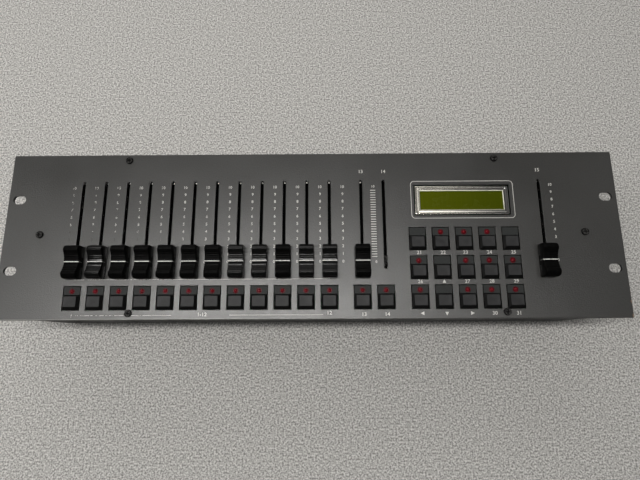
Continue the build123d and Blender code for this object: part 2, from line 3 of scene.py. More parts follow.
import bmesh
import bpy
import numpy as np
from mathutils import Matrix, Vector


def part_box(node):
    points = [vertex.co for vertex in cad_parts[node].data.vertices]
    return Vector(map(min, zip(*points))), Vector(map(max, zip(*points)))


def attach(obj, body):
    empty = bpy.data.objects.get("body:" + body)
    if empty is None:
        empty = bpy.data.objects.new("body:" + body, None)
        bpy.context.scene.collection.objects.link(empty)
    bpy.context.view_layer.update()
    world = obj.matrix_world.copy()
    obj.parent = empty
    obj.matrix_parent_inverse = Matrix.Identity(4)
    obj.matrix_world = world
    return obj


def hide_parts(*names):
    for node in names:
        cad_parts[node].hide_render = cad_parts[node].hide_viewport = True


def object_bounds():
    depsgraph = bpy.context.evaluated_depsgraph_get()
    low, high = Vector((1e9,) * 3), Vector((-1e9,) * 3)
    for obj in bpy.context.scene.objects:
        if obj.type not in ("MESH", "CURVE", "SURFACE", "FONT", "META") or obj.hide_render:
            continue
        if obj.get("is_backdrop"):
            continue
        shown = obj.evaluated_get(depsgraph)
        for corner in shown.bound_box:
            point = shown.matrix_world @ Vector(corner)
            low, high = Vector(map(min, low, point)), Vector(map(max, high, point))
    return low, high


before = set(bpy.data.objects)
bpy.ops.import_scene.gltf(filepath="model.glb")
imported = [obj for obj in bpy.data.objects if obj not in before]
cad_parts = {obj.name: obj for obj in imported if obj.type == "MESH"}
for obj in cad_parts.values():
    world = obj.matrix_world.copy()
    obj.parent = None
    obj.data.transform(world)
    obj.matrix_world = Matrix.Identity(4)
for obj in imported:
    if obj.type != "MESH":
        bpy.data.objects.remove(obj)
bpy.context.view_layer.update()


# The desk lies on a pale table and is seen from above by someone who leans over its front
# edge. A long lamp glows over its left half, and smaller ones stand behind and at each side.
MM = 0.001
panel_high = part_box("front_panel")[1]
panel_top = panel_high.z

camera_data = bpy.data.cameras.new("camera")
camera_data.sensor_width = 36.0
camera_data.lens = 26.0
camera = bpy.data.objects.new("camera", camera_data)
camera.location = (9.49 * MM, -83.45 * MM, panel_top + 350.96 * MM)
camera.rotation_euler = (0.2186, 0.0084, -0.0040)
bpy.context.scene.collection.objects.link(camera)
bpy.context.scene.camera = camera

bpy.context.scene.view_settings.view_transform = "Standard"


def soft_lamp(name, place, turn, size, watts):
    """Adds a warm white rectangular lamp that shines along its own -Z axis."""
    data = bpy.data.lights.new(name, "AREA")
    data.shape = "RECTANGLE"
    data.size, data.size_y = size
    data.energy = watts
    data.color = (1.0, 0.985, 0.955)
    lamp = bpy.data.objects.new(name, data)
    lamp.location = place
    lamp.rotation_euler = turn
    bpy.context.scene.collection.objects.link(lamp)


soft_lamp("long_lamp", (-0.24, -0.028, 1.25), (0.04, -0.14, 0.07), (1.0, 0.08), 8.9)
soft_lamp("left_lamp", (-1.5, 0.15, 0.65), (-0.09, -1.16, 0.0), (0.8, 0.6), 5.5)
soft_lamp("back_lamp", (-0.2, 1.55, 1.05), (-1.0, -0.2, 0.0), (2.0, 0.7), 9.0)
soft_lamp("side_lamp", (1.33, 0.49, 0.95), (0.0, 0.99, 0.36), (0.5, 0.5), 0.8)
soft_lamp("small_lamp", (0.55, -0.03, 1.2), (0.0, 0.0, 0.0), (0.45, 0.1), 0.5)

room = bpy.data.worlds.new("room")
room.use_nodes = True
room.node_tree.nodes["Background"].inputs["Color"].default_value = (0.82, 0.82, 0.80, 1.0)
room.node_tree.nodes["Background"].inputs["Strength"].default_value = 0.15
bpy.context.scene.world = room


def plain_finish(name, colour, roughness, metallic=0.0, shine=0.5):
    """A node material with the shader's plain values and a node of places, and its tree."""
    finish = bpy.data.materials.new(name)
    finish.use_nodes = True
    tree = finish.node_tree
    for socket, value in (("Base Color", (*colour, 1.0)), ("Roughness", roughness),
                          ("Metallic", metallic), ("Specular IOR Level", shine)):
        tree.nodes["Principled BSDF"].inputs[socket].default_value = value
    tree.nodes.new("ShaderNodeTexCoord").name = "places"
    return finish, tree


def grain(tree, size, detail=2.0, stretch=(1.0, 1.0, 1.0)):
    """Noise from 0 to 1 whose lumps are about size metres across, drawn out along stretch."""
    mapping = tree.nodes.new("ShaderNodeMapping")
    mapping.inputs["Scale"].default_value = tuple(1.0 / (size * s) for s in stretch)
    tree.links.new(tree.nodes["places"].outputs["Object"], mapping.inputs["Vector"])
    noise = tree.nodes.new("ShaderNodeTexNoise")
    noise.inputs["Scale"].default_value = 1.0
    noise.inputs["Detail"].default_value = detail
    tree.links.new(mapping.outputs["Vector"], noise.inputs["Vector"])
    return noise.outputs["Fac"]


def spread(tree, value, low, high, to_low=0.0, to_high=1.0):
    """Carries low..high of a value to to_low..to_high, and holds it there outside."""
    node = tree.nodes.new("ShaderNodeMapRange")
    tree.links.new(value, node.inputs["Value"])
    for socket, number in zip(("From Min", "From Max", "To Min", "To Max"),
                              (low, high, to_low, to_high)):
        node.inputs[socket].default_value = number
    return node.outputs["Result"]


def mottle(tree, size, detail, low, high, *ends):
    """Grain whose values from low to high are spread from 0 to 1, or between the ends given."""
    return spread(tree, grain(tree, size, detail), low, high, *ends)


def tinted(tree, share, colour, other):
    """Mixes two colours by a share from 0 to 1; each is a socket, a triple or a grey's number."""
    node = tree.nodes.new("ShaderNodeMix")
    node.data_type = "RGBA"
    tree.links.new(share, node.inputs["Factor"])
    for socket, value in zip(("A", "B"), (colour, other)):
        target = [s for s in node.inputs if s.name == socket and s.type == "RGBA"][0]
        if isinstance(value, float):
            value = (value, value, value)
        if isinstance(value, tuple):
            target.default_value = (*value, 1.0)
        else:
            tree.links.new(value, target)
    return [s for s in node.outputs if s.type == "RGBA"][0]


def lay_on(tree, colour=None, roughness=None, metallic=None):
    """Links to the shader what varies over a finish: its colour, roughness and metal."""
    shader = tree.nodes["Principled BSDF"]
    for socket, value in (("Base Color", colour), ("Roughness", roughness),
                          ("Metallic", metallic)):
        if value is not None:
            tree.links.new(value, shader.inputs[socket])


def table_laminate():
    """Pale matt laminate with a fine mottle."""
    finish, tree = plain_finish("table", (0.50, 0.49, 0.475), 0.8)
    specks = mottle(tree, 1.5 * MM, 3.0, 0.35, 0.65)
    lay_on(tree, tinted(tree, specks, (0.22, 0.214, 0.205), (0.74, 0.726, 0.705)))
    return finish


half_table = 2.0
table = bpy.data.objects.new("table", bpy.data.meshes.new("table"))
table.data.from_pydata([(x * half_table, y * half_table, 0)
                        for x, y in ((-1, -1), (1, -1), (1, 1), (-1, 1))], [], [(0, 1, 2, 3)])
table.data.materials.append(table_laminate())
bpy.context.scene.collection.objects.link(table)
table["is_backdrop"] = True


# The tray is a channel folded from 1.2 mm steel with a flat plate spot-welded over each end.
# Both are stoved in black crinkle enamel, rubbed along the folds and dimpled at the welds.
tray_low, tray_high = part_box("chassis_tray")
weld_pitch, weld_r, from_fold = 15 * MM, 1.6 * MM, 5 * MM


def worked(tree, operation, first, second=0.0):
    """A Math node on two values, each a socket or a number."""
    node = tree.nodes.new("ShaderNodeMath")
    node.operation = operation
    for socket, value in zip(node.inputs, (first, second)):
        if isinstance(value, (int, float)):
            socket.default_value = value
        else:
            tree.links.new(value, socket)
    return node.outputs["Value"]


def times(tree, first, second):
    """The product of two values."""
    return worked(tree, "MULTIPLY", first, second)


def less(tree, first, second):
    """The first value less the second."""
    return worked(tree, "SUBTRACT", first, second)


def apart(tree, first, second):
    """How far two values lie apart, either way."""
    return worked(tree, "ABSOLUTE", less(tree, first, second))


def diagonal(tree, side, other):
    """The square root of the sum of two sides' squares."""
    return worked(tree, "SQRT", worked(tree, "ADD", times(tree, side, side),
                                       times(tree, other, other)))


def axis_of(tree, axis, vector=None):
    """One coordinate of the places, or of another vector."""
    node = tree.nodes.new("ShaderNodeSeparateXYZ")
    tree.links.new(vector or tree.nodes["places"].outputs["Object"], node.inputs["Vector"])
    return node.outputs[axis]


def ramp(tree, axis, low, high, *ends):
    """One coordinate from low to high, spread from 0 to 1 or between the ends given."""
    return spread(tree, axis_of(tree, axis), low, high, *ends)


def rubbed_edges(tree, reach, low=0.02, high=0.16):
    """From 0 on flats to 1 on edges: how far the rounded normal turns from the true one."""
    bevel = tree.nodes.new("ShaderNodeBevel")
    bevel.inputs["Radius"].default_value = reach
    geometry = tree.nodes.new("ShaderNodeNewGeometry")
    dot = tree.nodes.new("ShaderNodeVectorMath")
    dot.operation = "DOT_PRODUCT"
    tree.links.new(bevel.outputs["Normal"], dot.inputs[0])
    tree.links.new(geometry.outputs["Normal"], dot.inputs[1])
    return spread(tree, dot.outputs["Value"], 1.0 - low, 1.0 - high)


def relief(tree, height, depth, edge=0.0):
    """Raises the surface by height times depth metres, over edges rounded by edge metres."""
    bump = tree.nodes.new("ShaderNodeBump")
    bump.inputs["Distance"].default_value = depth
    tree.links.new(height, bump.inputs["Height"])
    if edge:
        bevel = tree.nodes.new("ShaderNodeBevel")
        bevel.inputs["Radius"].default_value = edge
        tree.links.new(bevel.outputs["Normal"], bump.inputs["Normal"])
    tree.links.new(bump.outputs["Normal"], tree.nodes["Principled BSDF"].inputs["Normal"])


def dress(node, finish):
    """Gives a carried-over solid its finish."""
    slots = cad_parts[node].data.materials
    slots.clear()
    slots.append(finish)


def tray_enamel():
    """Black enamel with a fine crinkle; grey primer shows where noise meets a rubbed edge."""
    finish, tree = plain_finish("tray_enamel", (0.03, 0.03, 0.031), 0.5, shine=0.06)
    enamel = tinted(tree, mottle(tree, 70 * MM, 4.0, 0.3, 0.7), (0.010, 0.010, 0.0103), 0.022)
    rubbed = times(tree, rubbed_edges(tree, 0.5 * MM), mottle(tree, 5 * MM, 4.0, 0.48, 0.62))
    lay_on(tree, tinted(tree, rubbed, enamel, (0.30, 0.29, 0.28)),
           mottle(tree, 25 * MM, 5.0, 0.35, 0.75, 0.40, 0.62))
    relief(tree, grain(tree, 0.7 * MM, 3.0), 0.06 * MM, edge=0.3 * MM)
    return finish


def weld_enamel():
    """The same enamel over the end plates, with a row of shallow round weld spots."""
    finish, tree = plain_finish("weld_enamel", (0.03, 0.03, 0.031), 0.5, shine=0.06)
    lay_on(tree, tinted(tree, mottle(tree, 60 * MM, 4.0, 0.3, 0.7), (0.014, 0.014, 0.0145), 0.030))
    middle = (tray_low.y + tray_high.y) / 2
    half = (tray_high.y - tray_low.y) / 2
    from_row = less(tree, half - from_fold, apart(tree, axis_of(tree, "Y"), middle))
    up = less(tree, axis_of(tree, "Z"), tray_low.z)
    from_spot = less(tree, worked(tree, "MODULO", up, weld_pitch), weld_pitch / 2)
    spot = spread(tree, diagonal(tree, from_row, from_spot), weld_r, weld_r + 1.2 * MM)
    crinkle = times(tree, grain(tree, 0.7 * MM, 3.0), 0.25)
    relief(tree, worked(tree, "ADD", spot, crinkle), 0.22 * MM, edge=0.3 * MM)
    return finish


dress("chassis_tray", tray_enamel())
dress("chassis_ends", weld_enamel())


# Four round feet of black rubber are pressed into the floor of the tray. They have gone grey
# and dusty round the edge that touches the table.
def foot_rubber():
    """Matt rubber, greyer in its lowest 2 mm, with a fine moulded tooth."""
    finish, tree = plain_finish("foot_rubber", (0.025, 0.025, 0.025), 0.85)
    dust = times(tree, ramp(tree, "Z", 0.0, 2 * MM, 1.0, 0.0),
                 mottle(tree, 1.5 * MM, 3.0, 0.35, 0.65))
    lay_on(tree, tinted(tree, dust, 0.022, (0.10, 0.095, 0.09)))
    relief(tree, grain(tree, 0.35 * MM, 2.0), 0.03 * MM, edge=0.3 * MM)
    return finish


dress("rubber_feet", foot_rubber())


# The rear wall holds a five-contact data socket with a black plastic core, fixed by two
# plated screws, and a round power socket held by a hexagonal nut. The contacts are plated
# sleeves pressed into the core.
data_x, power_x = -150.0 * MM, -104.0 * MM
socket_z = (tray_low.z + tray_high.z) / 2
socket_face = tray_high.y
core_r, power_bore_r, power_pin_r, power_reach = 9.5 * MM, 3.9 * MM, 1.05 * MM, 12 * MM
contact_circle, contact_r, contact_l, contact_wall = 5.0 * MM, 0.85 * MM, 8.2 * MM, 0.28 * MM
bore_depth = 9.0 * MM


def closed_up(mesh, reach, finish, body):
    """Merges points within reach, turns faces outwards, and puts the piece on its body."""
    work = bmesh.new()
    work.from_mesh(mesh)
    bmesh.ops.remove_doubles(work, verts=work.verts, dist=reach)
    bmesh.ops.recalc_face_normals(work, faces=work.faces)
    work.to_mesh(mesh)
    work.free()
    mesh.materials.append(finish)
    made = bpy.data.objects.new(mesh.name, mesh)
    bpy.context.scene.collection.objects.link(made)
    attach(made, body)
    return made


def piece(name, sheet, finish, body, rows_close=False, sharp=0.6):
    """Makes a sheet of points into one closed mesh that rides on a body.

    A sheet is an array (copies, rows, columns, 3) whose columns close on themselves, as its
    rows may too; each neighbouring four points make a face. Doubled points are merged and
    the faces turned outwards. Edges that turn by more than sharp radians stay sharp.
    """
    index = np.arange(sheet[..., 0].size).reshape(sheet.shape[:3])
    down, right = np.roll(index, -1, 1), np.roll(index, -1, 2)
    quads = np.stack([index, right, np.roll(down, -1, 2), down], -1)
    quads = quads if rows_close else quads[:, :-1]
    mesh = bpy.data.meshes.new(name)
    mesh.from_pydata(sheet.reshape(-1, 3).tolist(), [], quads.reshape(-1, 4).tolist())
    made = closed_up(mesh, 0.002 * MM, finish, body)
    mesh.shade_smooth()
    mesh.set_sharp_from_angle(angle=sharp)
    return made


def turned(profile, centres, axis="z", around=20):
    """A profile of (radius, height) rows turned round an axis through each centre."""
    angle = np.linspace(0, 2 * np.pi, around, endpoint=False)
    radius, height = np.array(profile).T
    side = radius[:, None] * np.cos(angle)
    other = radius[:, None] * np.sin(angle)
    along = np.repeat(height[:, None], around, 1)
    order = {"z": (side, other, along), "y": (side, along, other)}[axis]
    return np.stack(order, -1)[None] + np.array(centres)[:, None, None, :]


def plated(name, colour, roughness):
    """Bright plated metal with fine scuffs in its gloss."""
    finish, tree = plain_finish(name, colour, roughness, metallic=1.0)
    lay_on(tree, roughness=mottle(tree, 1.2 * MM, 4.0, 0.35, 0.7, roughness, roughness + 0.2))
    relief(tree, grain(tree, 0.4 * MM, 3.0), 0.01 * MM)
    return finish


def socket_mouldings():
    """Black moulding; plated metal on the data socket's rim, its screws and the power nut."""
    finish, tree = plain_finish("socket_mouldings", (0.02, 0.02, 0.021), 0.42)
    up = less(tree, axis_of(tree, "Z"), socket_z)
    from_data, from_power = [diagonal(tree, less(tree, axis_of(tree, "X"), x), up)
                             for x in (data_x, power_x)]
    rim = spread(tree, from_data, core_r, core_r + 0.1 * MM)
    beyond = spread(tree, from_power, power_reach, power_reach + 1 * MM)
    within = spread(tree, from_power, power_reach, power_reach + 1 * MM, 1.0, 0.0)
    nut = times(tree, spread(tree, from_power, power_bore_r, power_bore_r + 0.05 * MM), within)
    nut = times(tree, nut, ramp(tree, "Y", socket_face - 0.3 * MM, socket_face))
    pin = spread(tree, from_power, power_pin_r, power_pin_r + 0.15 * MM, 1.0, 0.0)
    metal = worked(tree, "MAXIMUM", times(tree, rim, beyond), worked(tree, "MAXIMUM", nut, pin))
    speck = mottle(tree, 0.8 * MM, 3.0, 0.3, 0.7)
    plastic = tinted(tree, speck, (0.016, 0.016, 0.017), 0.03)
    lay_on(tree, tinted(tree, metal, plastic, (0.62, 0.61, 0.58)),
           spread(tree, metal, 0.0, 1.0, 0.45, 0.26), metal)
    relief(tree, speck, 0.02 * MM, edge=0.15 * MM)
    return finish


def contact_sleeves():
    """Each contact is a sleeve: out from its bore's foot, over a rounded lip and back inside."""
    turn = np.radians(-60.0 + 60.0 * np.arange(5))
    centres = np.stack([data_x + contact_circle * np.cos(turn),
                        np.full(5, socket_face - bore_depth),
                        socket_z + contact_circle * np.sin(turn)], -1)
    inside_r, lip = contact_r - contact_wall, contact_l - 0.2 * MM
    profile = [(0.0, 0.0), (contact_r, 0.0), (contact_r, lip),
               (contact_r - contact_wall / 2, contact_l), (inside_r, lip),
               (inside_r, 2.0 * MM), (0.0, 1.8 * MM)]
    return turned(profile, centres, axis="y", around=16)


dress("rear_sockets", socket_mouldings())
contacts = piece("data_contacts", contact_sleeves(),
                 plated("contact_plating", (0.78, 0.60, 0.28), 0.22), "desk")


# The processor board stands on four brass spacers on the tray's floor, and the control board
# hangs from pillars behind the panel. Both are glass-fibre boards in green lacquer over
# copper tracks, with black chips, a capacitor and a cooling plate.
board_t = 1.62 * MM
main_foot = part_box("main_board")[0].z
control_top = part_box("control_board")[1].z
above_all = 1.0  # the display's board shows no black parts, so they start above everything


def circuit_board(name, face, parts_above):
    """Green lacquer with straight tracks from stepped noise; black past the board's face."""
    finish, tree = plain_finish(name, (0.02, 0.11, 0.045), 0.35)
    along = spread(tree, grain(tree, 1.6 * MM, 0.0, (9.0, 1.0, 1.0)), 0.50, 0.53)
    across = spread(tree, grain(tree, 1.6 * MM, 0.0, (1.0, 9.0, 1.0)), 0.52, 0.55)
    tracks = worked(tree, "MAXIMUM", along, across)
    lacquer = tinted(tree, tracks, (0.012, 0.075, 0.03), (0.03, 0.16, 0.06))
    past = (ramp(tree, "Z", face, face + 0.05 * MM) if parts_above
            else ramp(tree, "Z", face - 0.05 * MM, face, 1.0, 0.0))
    speck = mottle(tree, 0.5 * MM, 3.0, 0.3, 0.7)
    lay_on(tree, tinted(tree, past, lacquer, tinted(tree, speck, 0.018, 0.035)))
    relief(tree, worked(tree, "ADD", tracks, times(tree, speck, 0.3)), 0.03 * MM, edge=0.1 * MM)
    return finish


dress("main_board", circuit_board("main_board_lacquer", main_foot + board_t, True))
dress("control_board", circuit_board("control_board_lacquer", control_top - board_t, False))
dress("display_board", circuit_board("display_board_lacquer", above_all, True))


# Turned brass pillars and spacers carry the boards, each with a zinc-plated screw through
# it. They were cut from bar in a lathe and have dulled since.
def spacer_brass():
    """Brass dulled by handling, with lathe rings along its height."""
    finish, tree = plain_finish("spacer_brass", (0.60, 0.44, 0.20), 0.3, 1.0)
    dull = mottle(tree, 4 * MM, 4.0, 0.35, 0.7)
    lay_on(tree, tinted(tree, dull, (0.62, 0.46, 0.21), (0.38, 0.26, 0.12)),
           spread(tree, dull, 0.0, 1.0, 0.25, 0.5))
    relief(tree, grain(tree, 0.12 * MM, 1.0, (60.0, 60.0, 1.0)), 0.01 * MM, edge=0.1 * MM)
    return finish


dress("board_spacers", spacer_brass())


# A grey ribbon cable joins the two boards, folded once on its way down. Its plastic jacket
# is moulded over wires that lie side by side, the first of them marked in red.
wire_pitch = 1.27 * MM


def ribbon_jacket():
    """Grey plastic raised by the sine of its wires' pitch, the first wire's ridge red."""
    finish, tree = plain_finish("ribbon_jacket", (0.35, 0.35, 0.36), 0.5)
    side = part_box("ribbon_cable")[0].y
    y = axis_of(tree, "Y")
    ridge = worked(tree, "ABSOLUTE", worked(
        tree, "SINE", times(tree, less(tree, y, side), np.pi / wire_pitch)))
    first = spread(tree, y, side + 1.2 * MM, side + 1.3 * MM, 1.0, 0.0)
    grey = tinted(tree, mottle(tree, 6 * MM, 3.0, 0.3, 0.7), (0.30, 0.30, 0.31), 0.40)
    lay_on(tree, tinted(tree, first, grey, (0.45, 0.03, 0.03)))
    relief(tree, ridge, 0.25 * MM)
    return finish


dress("ribbon_cable", ribbon_jacket())


# Each slide potentiometer has a folded steel case, open along its top, over a black resistance
# track; the case is painted near black as the shade under the panel. A bright stop pin ends
# every opening but that of the bare lever.
housings_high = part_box("slider_housings")[1]
slider_nodes = [f"slider_{n:02d}" for n in range(1, 14)] + ["slider_master"]
pin_y = housings_high.y - 8.76 * MM
pin_r, pin_rise, pin_sphere = 0.7, 0.3, 1.3  # millimetres


def slider_case():
    """Roof and inside walls painted near black as shade, over a greased black track; a few paler
    bare specks on the roof.
    """
    # The near-black base colour is painted shade under the panel.
    finish, tree = plain_finish("slider_case", (0.003, 0.003, 0.003), 0.7, shine=0.04)
    roof = ramp(tree, "Z", housings_high.z - 0.12 * MM, housings_high.z)
    bare = times(tree, roof, mottle(tree, 1.1 * MM, 2.0, 0.62, 0.66))
    lay_on(tree, tinted(tree, bare, 0.003, (0.26, 0.255, 0.245)),
           spread(tree, bare, 0.0, 1.0, 0.70, 0.30), bare)
    relief(tree, grain(tree, 0.8 * MM, 3.0), 0.02 * MM, edge=0.15 * MM)
    return finish


def stop_pins():
    """A low domed head inside a slot's rear end: a rim, then a cap cut from a larger sphere."""
    radius = np.linspace(pin_r, 0.0, 7)
    dome = pin_rise + np.sqrt(pin_sphere**2 - radius**2) - pin_sphere
    profile = np.concatenate([[(0.0, -0.15), (pin_r, -0.15)], np.column_stack([radius, dome])])
    centres = []
    for node in slider_nodes:
        low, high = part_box(node)
        centres.append(((low.x + high.x) / 2, pin_y, housings_high.z))
    return turned(profile * MM, centres, around=16)


dress("slider_housings", slider_case())
stops = piece("slider_stops", stop_pins(), plated("stop_steel", (0.82, 0.81, 0.78), 0.35), "desk")


# The keys' fixed bodies are moulded in black plastic. The lamp zone at the rear lies flush
# with the panel, spark-eroded to a fine matt tooth; painted shade blackens its rounded edges.
def key_body():
    """Charcoal moulding with a fine tooth, smoother towards the top, with painted shade black
    along its edges.
    """
    finish, tree = plain_finish("key_body", (0.028, 0.03, 0.029), 0.55, shine=0.15)
    speck = mottle(tree, 0.45 * MM, 2.0, 0.3, 0.7)
    body = tinted(tree, speck, (0.023, 0.025, 0.0245), (0.034, 0.036, 0.0355))
    # Painted shade: the body turns near black along its edges.
    edges = times(tree, rubbed_edges(tree, 0.5 * MM, 0.005, 0.08), 0.9)
    lay_on(tree, tinted(tree, edges, body, 0.003),
           ramp(tree, "Z", panel_top - 1.5 * MM, panel_top - 0.1 * MM, 0.75, 0.52))
    relief(tree, speck, 0.012 * MM, edge=0.35 * MM)
    return finish


dress("key_housings", key_body())


# Each lit key has a red 3 mm lamp in its zone: a barrel, collar and dome cast in tinted
# resin round two thin leads, which stand on the control board.
row_keys = [f"key_{n:02d}" for n in range(1, 15)]
lit_columns = {1: (2, 3, 4), 2: (1, 3, 4, 5), 3: (1, 3, 4, 5)}
lit_pads = [f"keypad_{row}_{column}" for row, columns in lit_columns.items()
            for column in columns]
lamps_low, lamps_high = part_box("lamps")
lamp_r, collar_r = 1.5 * MM, 2.2 * MM
lamp_foot = lamp_r + 4 * MM
lead_r, lead_side = 0.3 * MM, 0.9 * MM


def key_middle(node):
    """The middle of a key's pad, seen from above."""
    low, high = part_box(node)
    return (low.x + high.x) / 2, (low.y + high.y) / 2


def lamp_places():
    """Each lamp stands behind its key's pad, on the pad's middle line."""
    middles = np.array([key_middle(node) for node in row_keys + lit_pads])
    behind = lamps_high.y - middles[:, 1].max() - lamp_r
    return np.column_stack([middles[:, 0], middles[:, 1] + behind,
                            np.full(len(middles), lamps_high.z)])


def lamp_red():
    """Deep red tinted resin, a little cloudy, with gloss over it; the collar is painted darker as
    the shade of the gap round it.
    """
    finish, tree = plain_finish("lamp_red", (0.12, 0.006, 0.008), 0.30, shine=0.15)
    shader = tree.nodes["Principled BSDF"]
    shader.inputs["Subsurface Weight"].default_value = 0.35
    shader.inputs["Subsurface Radius"].default_value = (1.0, 0.1, 0.1)
    shader.inputs["Subsurface Scale"].default_value = 0.8 * MM
    cloudy = mottle(tree, 0.9 * MM, 2.0, 0.3, 0.7)
    # Painted shade: below the dome the resin is a darker red.
    dome = ramp(tree, "Z", panel_top + 0.2 * MM, panel_top + 0.35 * MM)
    resin = tinted(tree, cloudy, (0.12, 0.004, 0.008), (0.22, 0.012, 0.020))
    lay_on(tree, tinted(tree, dome, (0.085, 0.002, 0.006), resin))
    relief(tree, cloudy, 0.015 * MM)
    return finish


def lamp_bulbs():
    """A lamp's profile: up its barrel, out and in round a collar on the key, then a dome."""
    rise = np.linspace(0, np.pi / 2, 9)[:-1]
    dome = np.column_stack([lamp_r * np.cos(rise), lamp_r * (np.sin(rise) - 1)])
    face = panel_top - lamps_high.z
    collar = [(lamp_r, face - 0.1 * MM), (collar_r, face - 0.1 * MM),
              (collar_r, face + 0.10 * MM), (collar_r - 0.15 * MM, face + 0.22 * MM),
              (lamp_r, face + 0.22 * MM)]
    profile = [(0.0, -lamp_foot), (lamp_r, -lamp_foot), *collar, *dome, (0.0, 0.0)]
    return turned(profile, lamp_places())


def lamp_leads():
    """Two thin wires under each lamp, down to the control board."""
    length = lamps_high.z - lamp_foot - lamps_low.z
    centres = np.concatenate([lamp_places() + [side, 0, lamps_low.z - lamps_high.z]
                              for side in (-lead_side, lead_side)])
    profile = [(0.0, 0.0), (lead_r, 0.0), (lead_r, length), (0.0, length)]
    return turned(profile, centres, around=6)


bulbs = piece("lamp_bulbs", lamp_bulbs(), lamp_red(), "desk")
leads = piece("lamp_leads", lamp_leads(), plated("lead_tin", (0.6, 0.6, 0.58), 0.3), "desk")
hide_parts("lamps")
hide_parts("lamps")


# The display is a liquid-crystal cell under a bezel pressed from tinned steel, twisted down
# over its board. The bezel's border slopes in from a flat rim to a low flat lip.
bezel_low, bezel_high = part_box("display_bezel")
display_x = (bezel_low.x + bezel_high.x) / 2
display_y = (bezel_low.y + bezel_high.y) / 2
view_x, view_y, characters, lines = 61.0 * MM, 12.4 * MM, 16, 2


def rounded_rings(levels, per_corner=4):
    """Rings of a rounded rectangle, one a row: middle x, y, half width, half depth, radius, z."""
    x, y, half_x, half_y, radius, z = (np.array(column, float)[:, None]
                                       for column in zip(*levels))
    quarter = np.linspace(0, np.pi / 2, per_corner)
    angle = np.concatenate([quarter + turn * np.pi / 2 for turn in range(4)])
    side = np.repeat(np.array([1, -1, -1, 1]), per_corner)
    end = np.repeat(np.array([1, 1, -1, -1]), per_corner)
    radius = np.minimum(radius, np.minimum(half_x, half_y))
    ring_x = x + side * (half_x - radius) + radius * np.cos(angle)
    ring_y = y + end * (half_y - radius) + radius * np.sin(angle)
    return np.stack([ring_x, ring_y, z + 0 * ring_x], -1)[None]


def bezel_frame():
    """The bezel's section carried round its window: wall, rounded rim, flat, slope, flat lip.

    A row of the section is how far in it lies, how far below the top, and its corners' radius.
    """
    half_x = (bezel_high.x - bezel_low.x) / 2
    half_y = (bezel_high.y - bezel_low.y) / 2
    height = (bezel_high.z - bezel_low.z) / MM
    section = [(0.8, height, 0.0), (0.0, height, 0.8), (0.0, 0.75, 0.8), (0.07, 0.42, 0.8),
               (0.20, 0.18, 0.8), (0.38, 0.05, 0.8), (0.60, 0.0, 0.7), (0.75, 0.0, 0.7),
               (1.50, 0.0, 0.6), (1.65, 0.02, 0.6), (1.80, 0.07, 0.6), (3.10, 0.54, 0.4),
               (3.25, 0.58, 0.4), (3.40, 0.59, 0.4), (3.90, 0.60, 0.3), (4.05, 0.66, 0.3),
               (4.15, 0.80, 0.3), (4.20, 1.15, 0.3), (4.20, 1.6, 0.3), (0.8, 1.6, 0.0)]
    return rounded_rings([(display_x, display_y, half_x - inset * MM, half_y - inset * MM,
                           radius * MM, bezel_high.z - drop * MM)
                          for inset, drop, radius in section], 5)


def bezel_tin():
    """Rolled tin plate with a satin inner lip, a painted reflection bright at the left and dark to
    the right, and painted shade in its crease that deepens to the right.
    """
    finish, tree = plain_finish("bezel_tin", (0.70, 0.69, 0.66), 0.16, 1.0)
    stain = mottle(tree, 5 * MM, 3.0, 0.45, 0.8)
    inset = worked(tree, "MINIMUM", *[
        less(tree, edge - middle, apart(tree, axis_of(tree, axis), middle)) for axis, middle, edge
        in (("X", display_x, bezel_high.x), ("Y", display_y, bezel_high.y))])
    lip = spread(tree, inset, 3.45 * MM, 3.55 * MM)
    crease = times(tree, spread(tree, inset, 2.3 * MM, 3.0 * MM),
                   spread(tree, inset, 3.4 * MM, 3.5 * MM, 1.0, 0.0))
    # Painted reflection: the tin is bright at the left and dark to the right.
    painted_reflection_fade = ramp(tree, "X", display_x - 33 * MM, display_x + 33 * MM)
    tin = tinted(tree, painted_reflection_fade, (0.86, 0.83, 0.74), (0.28, 0.275, 0.265))
    # Painted shade in the crease, deepening to the right.
    tin = tinted(tree, times(tree, crease, painted_reflection_fade), tin, (0.05, 0.05, 0.048))
    tin = tinted(tree, lip, tin, (0.88, 0.86, 0.74))
    lay_on(tree, tinted(tree, times(tree, stain, 0.3), tin, (0.30, 0.29, 0.28)),
           spread(tree, lip, 0.0, 1.0, 0.20, 0.34))
    relief(tree, grain(tree, 0.3 * MM, 1.0), 0.0012 * MM)
    return finish


def display_glass():
    """Olive reflector behind glass, with the faint cells of two lines of sixteen characters."""
    finish, tree = plain_finish("display_glass", (0.055, 0.072, 0.0005), 0.25, shine=0.12)
    fill, within = [], []
    for axis, middle, size, count, half in (("X", display_x, view_x, characters, 0.40),
                                            ("Y", display_y, view_y, lines, 0.42)):
        cell = worked(tree, "DIVIDE", less(tree, axis_of(tree, axis), middle - size / 2),
                      size / count)
        off = apart(tree, worked(tree, "FRACT", cell), 0.5)
        fill.append(spread(tree, off, half, half + 0.02, 1.0, 0.0))
        within.append(spread(tree, apart(tree, cell, count / 2), count / 2, count / 2 + 0.02,
                             1.0, 0.0))
    cells = times(tree, times(tree, *fill), times(tree, *within))
    # The olive is lighter at the left and darker towards the right.
    left_to_right_fade = ramp(tree, "X", display_x - 30 * MM, display_x + 30 * MM)
    olive = tinted(tree, left_to_right_fade, (0.075, 0.090, 0.0006), (0.052, 0.066, 0.0003))
    lay_on(tree, tinted(tree, times(tree, cells, 0.10), olive, (0.02, 0.03, 0.0)),
           mottle(tree, 8 * MM, 4.0, 0.3, 0.7, 0.20, 0.30))
    return finish


bezel = piece("bezel_frame", bezel_frame(), bezel_tin(), "desk", rows_close=True)
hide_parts("display_bezel")
dress("display_cell", display_glass())


